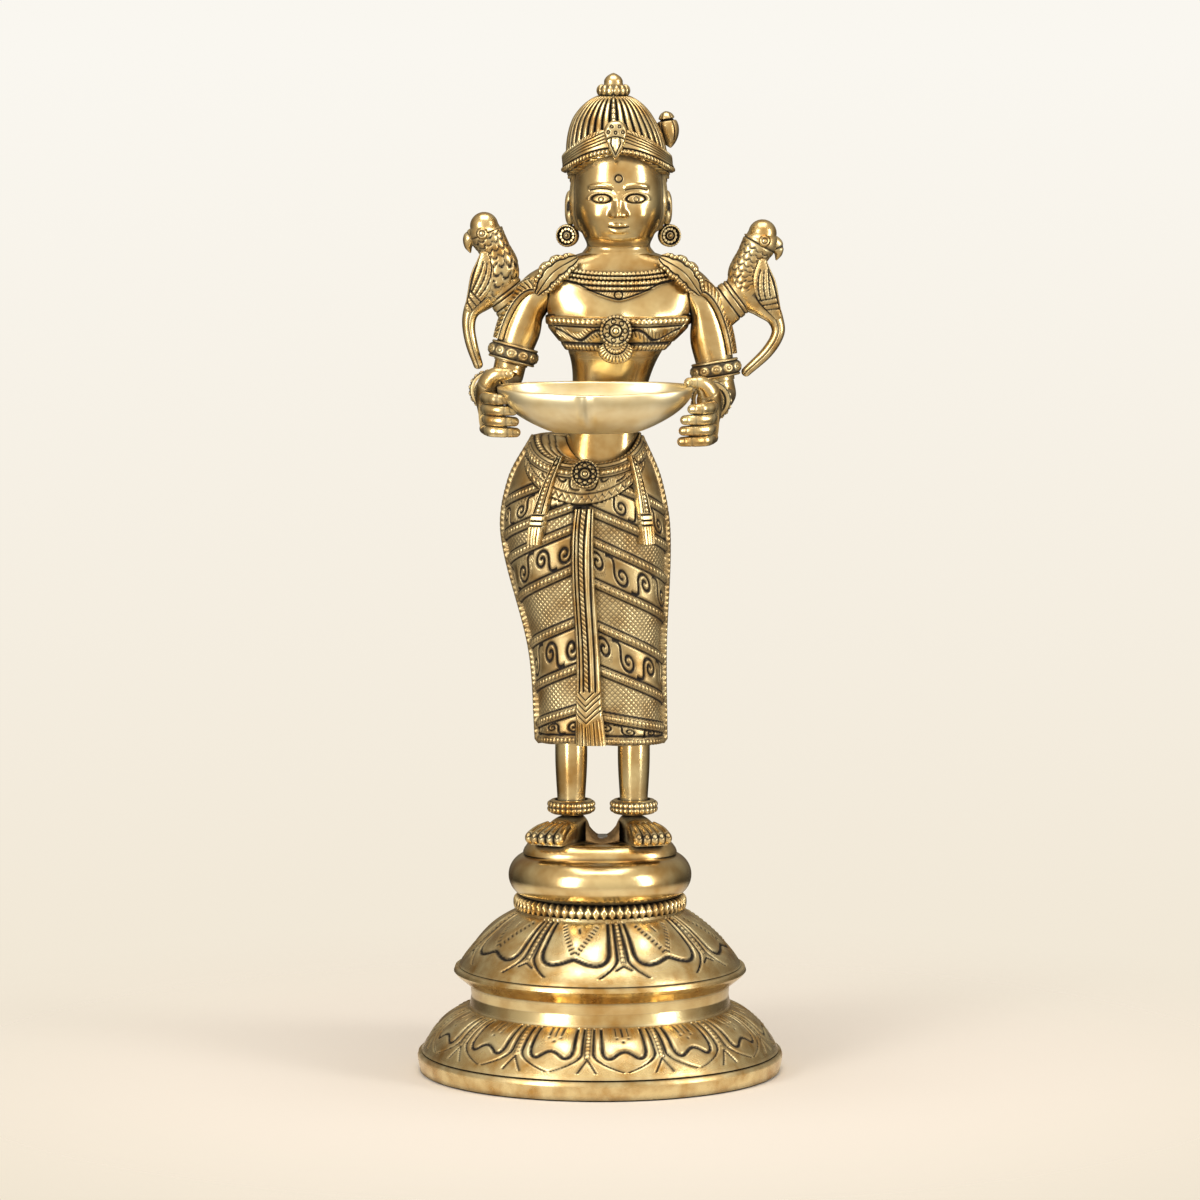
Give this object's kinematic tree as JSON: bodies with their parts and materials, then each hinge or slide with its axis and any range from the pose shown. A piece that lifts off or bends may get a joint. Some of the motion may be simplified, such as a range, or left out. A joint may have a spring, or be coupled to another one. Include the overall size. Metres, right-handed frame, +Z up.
{
  "type": "deepalakshmi lamp",
  "caption": "Cast brass lamp maiden standing on a lotus pedestal, holding a boat-shaped oil dish before her, with parrots at her shoulders and a fluted crown.",
  "frame": {"origin": "centre of the pedestal's foot, on the plane that it stands on", "axes": "+Z up the pedestal's axis, -Y the way the figure faces, +X to the figure's left"},
  "size_m": [0.13, 0.13, 0.354],
  "materials": {
    "brass": "cast, chased and polished, with dark patina left in the recesses",
    "steel": "plain zinc-plated fixing"
  },
  "bodies": {
    "pedestal": {"foot_tier": "brass", "waist_drum": "brass", "upper_tier": "brass", "beaded_collar": "brass", "cushion": "brass"},
    "figure": {"fixing_stud": "steel", "clamp_washer": "steel", "clamp_nut": "steel", "footplate": "brass", "right_foot": "brass", "left_foot": "brass", "right_shin": "brass", "left_shin": "brass", "right_anklet": "brass", "left_anklet": "brass", "skirt": "brass", "pleat_panel": "brass", "right_sash": "brass", "left_sash": "brass", "belt_buckle": "brass", "torso": "brass", "bodice": "brass", "bodice_brooch": "brass", "necklace": "brass", "yoke_collar": "brass", "right_epaulette": "brass", "left_epaulette": "brass", "head": "brass", "crown": "brass", "crown_band": "brass", "brow_jewel": "brass", "finial": "brass", "hair_flower": "brass", "right_ear": "brass", "left_ear": "brass", "right_earring": "brass", "left_earring": "brass", "right_upper_arm": "brass", "left_upper_arm": "brass", "right_armlet": "brass", "left_armlet": "brass", "right_forearm": "brass", "left_forearm": "brass", "right_bangle": "brass", "left_bangle": "brass", "right_hand": "brass", "left_hand": "brass", "oil_dish": "brass", "right_parrot": "brass", "left_parrot": "brass", "right_parrot_strap": "brass", "left_parrot_strap": "brass"}
  },
  "joints": [
    {"name": "figure_turn", "type": "hinge", "parent": "pedestal", "child": "figure", "pos_m": [0, 0, 0.078], "axis": [0, 0, 1], "continuous": true}
  ]
}
